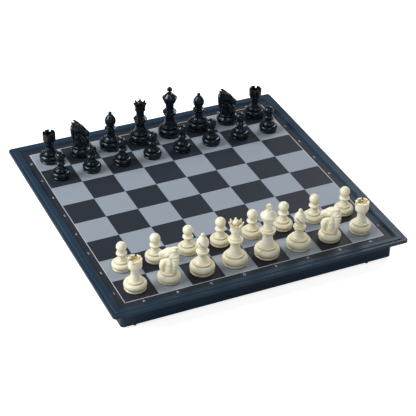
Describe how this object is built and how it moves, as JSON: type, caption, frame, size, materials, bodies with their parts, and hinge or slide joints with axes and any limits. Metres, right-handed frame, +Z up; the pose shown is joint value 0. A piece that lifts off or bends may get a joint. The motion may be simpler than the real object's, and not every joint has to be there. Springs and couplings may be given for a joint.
{
  "type": "folding chess set",
  "caption": "Folding travel chess set: two hinged case halves open flat to a printed board inside a raised rim, with magnetic chessmen in the opening position.",
  "frame": {"origin": "on the table under the middle of the open board", "axes": "+X along the ranks towards the h-file, +Y from the white side to the black side, +Z up"},
  "size_m": [0.317, 0.317, 0.0849],
  "materials": {
    "case_plastic": "satin",
    "steel": "satin",
    "board_print": "laminated",
    "white_plastic": "gloss",
    "black_plastic": "gloss"
  },
  "bodies": {
    "rear_half": {"rear_case": "case_plastic", "rear_steel_plate": "steel", "rear_board_sheet": "board_print", "hinge_pin_left": "steel", "hinge_pin_middle": "steel", "hinge_pin_right": "steel"},
    "front_half": {"front_case": "case_plastic", "front_steel_plate": "steel", "front_board_sheet": "board_print"},
    "white_rook_a": {"white_rook_a": "white_plastic"},
    "white_pawn_a": {"white_pawn_a": "white_plastic"},
    "white_knight_b": {"white_knight_b": "white_plastic"},
    "white_pawn_b": {"white_pawn_b": "white_plastic"},
    "white_bishop_c": {"white_bishop_c": "white_plastic"},
    "white_pawn_c": {"white_pawn_c": "white_plastic"},
    "white_queen": {"white_queen": "white_plastic"},
    "white_pawn_d": {"white_pawn_d": "white_plastic"},
    "white_king": {"white_king": "white_plastic"},
    "white_pawn_e": {"white_pawn_e": "white_plastic"},
    "white_bishop_f": {"white_bishop_f": "white_plastic"},
    "white_pawn_f": {"white_pawn_f": "white_plastic"},
    "white_knight_g": {"white_knight_g": "white_plastic"},
    "white_pawn_g": {"white_pawn_g": "white_plastic"},
    "white_rook_h": {"white_rook_h": "white_plastic"},
    "white_pawn_h": {"white_pawn_h": "white_plastic"},
    "black_rook_a": {"black_rook_a": "black_plastic"},
    "black_pawn_a": {"black_pawn_a": "black_plastic"},
    "black_knight_b": {"black_knight_b": "black_plastic"},
    "black_pawn_b": {"black_pawn_b": "black_plastic"},
    "black_bishop_c": {"black_bishop_c": "black_plastic"},
    "black_pawn_c": {"black_pawn_c": "black_plastic"},
    "black_queen": {"black_queen": "black_plastic"},
    "black_pawn_d": {"black_pawn_d": "black_plastic"},
    "black_king": {"black_king": "black_plastic"},
    "black_pawn_e": {"black_pawn_e": "black_plastic"},
    "black_bishop_f": {"black_bishop_f": "black_plastic"},
    "black_pawn_f": {"black_pawn_f": "black_plastic"},
    "black_knight_g": {"black_knight_g": "black_plastic"},
    "black_pawn_g": {"black_pawn_g": "black_plastic"},
    "black_rook_h": {"black_rook_h": "black_plastic"},
    "black_pawn_h": {"black_pawn_h": "black_plastic"}
  },
  "joints": [
    {"name": "board_fold", "type": "hinge", "parent": "rear_half", "child": "front_half", "pos_m": [0, 0, 0.0021], "axis": [1, 0, 0], "range_deg": [0, 180]},
    {"name": "lift_white_rook_a", "type": "slide", "parent": "front_half", "child": "white_rook_a", "axis": [0, 0, 1], "range_m": [0, 0.08]},
    {"name": "lift_white_pawn_a", "type": "slide", "parent": "front_half", "child": "white_pawn_a", "axis": [0, 0, 1], "range_m": [0, 0.08]},
    {"name": "lift_white_knight_b", "type": "slide", "parent": "front_half", "child": "white_knight_b", "axis": [0, 0, 1], "range_m": [0, 0.08]},
    {"name": "lift_white_pawn_b", "type": "slide", "parent": "front_half", "child": "white_pawn_b", "axis": [0, 0, 1], "range_m": [0, 0.08]},
    {"name": "lift_white_bishop_c", "type": "slide", "parent": "front_half", "child": "white_bishop_c", "axis": [0, 0, 1], "range_m": [0, 0.08]},
    {"name": "lift_white_pawn_c", "type": "slide", "parent": "front_half", "child": "white_pawn_c", "axis": [0, 0, 1], "range_m": [0, 0.08]},
    {"name": "lift_white_queen", "type": "slide", "parent": "front_half", "child": "white_queen", "axis": [0, 0, 1], "range_m": [0, 0.08]},
    {"name": "lift_white_pawn_d", "type": "slide", "parent": "front_half", "child": "white_pawn_d", "axis": [0, 0, 1], "range_m": [0, 0.08]},
    {"name": "lift_white_king", "type": "slide", "parent": "front_half", "child": "white_king", "axis": [0, 0, 1], "range_m": [0, 0.08]},
    {"name": "lift_white_pawn_e", "type": "slide", "parent": "front_half", "child": "white_pawn_e", "axis": [0, 0, 1], "range_m": [0, 0.08]},
    {"name": "lift_white_bishop_f", "type": "slide", "parent": "front_half", "child": "white_bishop_f", "axis": [0, 0, 1], "range_m": [0, 0.08]},
    {"name": "lift_white_pawn_f", "type": "slide", "parent": "front_half", "child": "white_pawn_f", "axis": [0, 0, 1], "range_m": [0, 0.08]},
    {"name": "lift_white_knight_g", "type": "slide", "parent": "front_half", "child": "white_knight_g", "axis": [0, 0, 1], "range_m": [0, 0.08]},
    {"name": "lift_white_pawn_g", "type": "slide", "parent": "front_half", "child": "white_pawn_g", "axis": [0, 0, 1], "range_m": [0, 0.08]},
    {"name": "lift_white_rook_h", "type": "slide", "parent": "front_half", "child": "white_rook_h", "axis": [0, 0, 1], "range_m": [0, 0.08]},
    {"name": "lift_white_pawn_h", "type": "slide", "parent": "front_half", "child": "white_pawn_h", "axis": [0, 0, 1], "range_m": [0, 0.08]},
    {"name": "lift_black_rook_a", "type": "slide", "parent": "rear_half", "child": "black_rook_a", "axis": [0, 0, 1], "range_m": [0, 0.08]},
    {"name": "lift_black_pawn_a", "type": "slide", "parent": "rear_half", "child": "black_pawn_a", "axis": [0, 0, 1], "range_m": [0, 0.08]},
    {"name": "lift_black_knight_b", "type": "slide", "parent": "rear_half", "child": "black_knight_b", "axis": [0, 0, 1], "range_m": [0, 0.08]},
    {"name": "lift_black_pawn_b", "type": "slide", "parent": "rear_half", "child": "black_pawn_b", "axis": [0, 0, 1], "range_m": [0, 0.08]},
    {"name": "lift_black_bishop_c", "type": "slide", "parent": "rear_half", "child": "black_bishop_c", "axis": [0, 0, 1], "range_m": [0, 0.08]},
    {"name": "lift_black_pawn_c", "type": "slide", "parent": "rear_half", "child": "black_pawn_c", "axis": [0, 0, 1], "range_m": [0, 0.08]},
    {"name": "lift_black_queen", "type": "slide", "parent": "rear_half", "child": "black_queen", "axis": [0, 0, 1], "range_m": [0, 0.08]},
    {"name": "lift_black_pawn_d", "type": "slide", "parent": "rear_half", "child": "black_pawn_d", "axis": [0, 0, 1], "range_m": [0, 0.08]},
    {"name": "lift_black_king", "type": "slide", "parent": "rear_half", "child": "black_king", "axis": [0, 0, 1], "range_m": [0, 0.08]},
    {"name": "lift_black_pawn_e", "type": "slide", "parent": "rear_half", "child": "black_pawn_e", "axis": [0, 0, 1], "range_m": [0, 0.08]},
    {"name": "lift_black_bishop_f", "type": "slide", "parent": "rear_half", "child": "black_bishop_f", "axis": [0, 0, 1], "range_m": [0, 0.08]},
    {"name": "lift_black_pawn_f", "type": "slide", "parent": "rear_half", "child": "black_pawn_f", "axis": [0, 0, 1], "range_m": [0, 0.08]},
    {"name": "lift_black_knight_g", "type": "slide", "parent": "rear_half", "child": "black_knight_g", "axis": [0, 0, 1], "range_m": [0, 0.08]},
    {"name": "lift_black_pawn_g", "type": "slide", "parent": "rear_half", "child": "black_pawn_g", "axis": [0, 0, 1], "range_m": [0, 0.08]},
    {"name": "lift_black_rook_h", "type": "slide", "parent": "rear_half", "child": "black_rook_h", "axis": [0, 0, 1], "range_m": [0, 0.08]},
    {"name": "lift_black_pawn_h", "type": "slide", "parent": "rear_half", "child": "black_pawn_h", "axis": [0, 0, 1], "range_m": [0, 0.08]}
  ]
}
